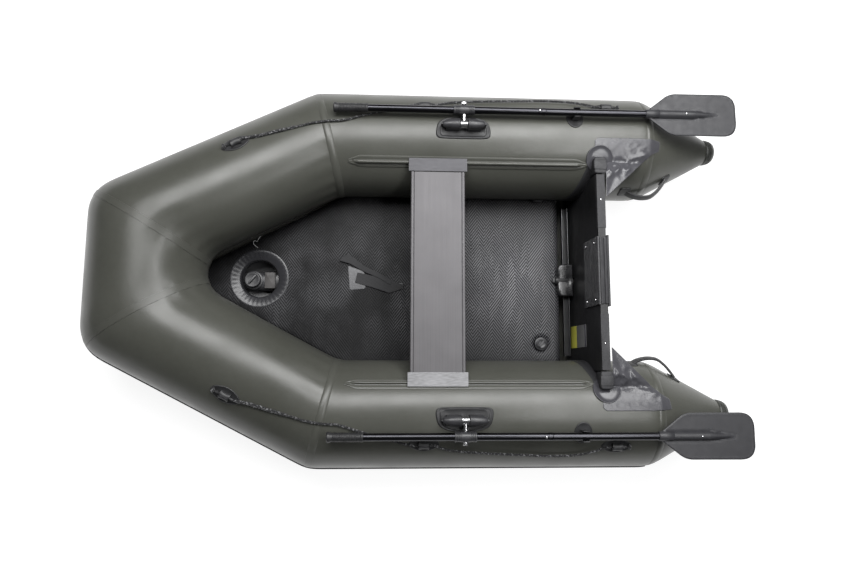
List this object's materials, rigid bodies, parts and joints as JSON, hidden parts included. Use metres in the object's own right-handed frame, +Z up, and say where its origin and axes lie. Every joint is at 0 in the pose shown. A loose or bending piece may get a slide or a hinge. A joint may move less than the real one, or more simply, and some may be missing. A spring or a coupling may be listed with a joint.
{
  "type": "inflatable boat",
  "caption": "Small inflatable tender with olive air tubes, black air floor, rigid transom, aluminium thwart seat, grab lines and stowed oars.",
  "frame": {"origin": "on the ground, under the middle of the overall length and beam", "axes": "+X to the bow, +Y to port, +Z up"},
  "size_m": [2.2896, 1.3824, 0.4644],
  "materials": {
    "olive_pvc": "PVC-coated fabric, satin, olive green",
    "dark_pvc": "PVC-coated fabric, matt, near black",
    "air_deck": "woven-embossed black deck cloth",
    "webbing": "woven black webbing",
    "black_rubber": "matt",
    "black_plastic": "fine moulded grain",
    "black_ply": "black painted plywood, satin",
    "grey_pad": "moulded, scuffed",
    "brushed_aluminium": "lengthwise brushed, satin",
    "black_aluminium": "black anodised, satin",
    "steel": "polished",
    "rope": "braided"
  },
  "bodies": {
    "hull": {"port_side_tube": "olive_pvc", "starboard_side_tube": "olive_pvc", "port_bow_tube": "olive_pvc", "starboard_bow_tube": "olive_pvc", "bow_tube": "olive_pvc", "bottom_sheet": "olive_pvc", "port_seat_rail": "olive_pvc", "starboard_seat_rail": "olive_pvc", "air_keel": "dark_pvc", "port_transom_gusset": "dark_pvc", "starboard_transom_gusset": "dark_pvc", "floor_airdeck": "air_deck", "floor_strap": "webbing", "port_cone_cap": "black_rubber", "starboard_cone_cap": "black_rubber", "rubbing_strake": "black_rubber", "port_oar_clip": "black_rubber", "port_stern_handle": "black_rubber", "port_bow_rope_eye": "black_rubber", "port_mid_rope_eye": "black_rubber", "port_aft_rope_eye": "black_rubber", "starboard_oar_clip": "black_rubber", "starboard_stern_handle": "black_rubber", "starboard_bow_rope_eye": "black_rubber", "starboard_mid_rope_eye": "black_rubber", "starboard_aft_rope_eye": "black_rubber", "keel_valve": "black_plastic", "floor_valve": "black_plastic", "drain_housing": "black_plastic", "bow_tube_valve": "black_plastic", "port_oarlock_base": "black_plastic", "port_tube_valve": "black_plastic", "starboard_oarlock_base": "black_plastic", "starboard_tube_valve": "black_plastic", "transom_board": "black_ply", "transom_inner_pad": "grey_pad", "transom_outer_pad": "grey_pad", "floor_aft_bar": "brushed_aluminium", "port_grab_line": "rope", "starboard_grab_line": "rope"},
    "seat": {"seat_board": "brushed_aluminium", "port_seat_bracket": "brushed_aluminium", "starboard_seat_bracket": "brushed_aluminium"},
    "port_oarlock": {"port_oarlock_swivel": "steel"},
    "port_oar": {"port_oar_collar": "black_plastic", "port_oar_inner_shaft": "black_aluminium", "port_oar_outer_shaft": "black_aluminium", "port_oar_grip": "black_rubber", "port_oar_blade": "black_plastic"},
    "port_oar_button": {"port_oar_button": "steel"},
    "starboard_oarlock": {"starboard_oarlock_swivel": "steel"},
    "starboard_oar": {"starboard_oar_collar": "black_plastic", "starboard_oar_inner_shaft": "black_aluminium", "starboard_oar_outer_shaft": "black_aluminium", "starboard_oar_grip": "black_rubber", "starboard_oar_blade": "black_plastic"},
    "starboard_oar_button": {"starboard_oar_button": "steel"},
    "keel_valve_cap": {"keel_valve_cap": "black_plastic"},
    "floor_valve_cap": {"floor_valve_cap": "black_plastic"},
    "drain_plug": {"drain_plug": "black_rubber"}
  },
  "joints": [
    {"name": "seat_slide", "type": "slide", "parent": "hull", "child": "seat", "axis": [1, 0, 0], "range_m": [-0.4, 0.2]},
    {"name": "port_oarlock_tilt", "type": "hinge", "parent": "hull", "child": "port_oarlock", "pos_m": [-0.158, 0.508, 0.403], "axis": [1, 0, 0], "range_deg": [0, 80]},
    {"name": "port_oar_swing", "type": "hinge", "parent": "port_oarlock", "child": "port_oar", "pos_m": [-0.158, 0.56, 0.403], "axis": [0, 1, 0], "range_deg": [0, 1.5]},
    {"name": "port_oar_button_press", "type": "slide", "parent": "port_oar", "child": "port_oar_button", "axis": [0, 0, -1], "range_m": [0, 0.003], "stiffness_N_per_m": 400},
    {"name": "starboard_oarlock_tilt", "type": "hinge", "parent": "hull", "child": "starboard_oarlock", "pos_m": [-0.158, -0.508, 0.403], "axis": [-1, 0, 0], "range_deg": [0, 80]},
    {"name": "starboard_oar_swing", "type": "hinge", "parent": "starboard_oarlock", "child": "starboard_oar", "pos_m": [-0.158, -0.56, 0.403], "axis": [0, 1, 0], "range_deg": [0, 1.5]},
    {"name": "starboard_oar_button_press", "type": "slide", "parent": "starboard_oar", "child": "starboard_oar_button", "axis": [0, 0, -1], "range_m": [0, 0.003], "stiffness_N_per_m": 400},
    {"name": "keel_valve_cap_turn", "type": "hinge", "parent": "hull", "child": "keel_valve_cap", "pos_m": [0.622, 0, 0.078], "axis": [0, 0, 1], "range_deg": [0, 90]},
    {"name": "floor_valve_cap_turn", "type": "hinge", "parent": "hull", "child": "floor_valve_cap", "pos_m": [-0.479, 0.242, 0.118], "axis": [0, 0, 1], "range_deg": [0, 90]},
    {"name": "drain_plug_pull", "type": "slide", "parent": "hull", "child": "drain_plug", "axis": [1, 0, 0], "range_m": [0, 0.03]}
  ]
}
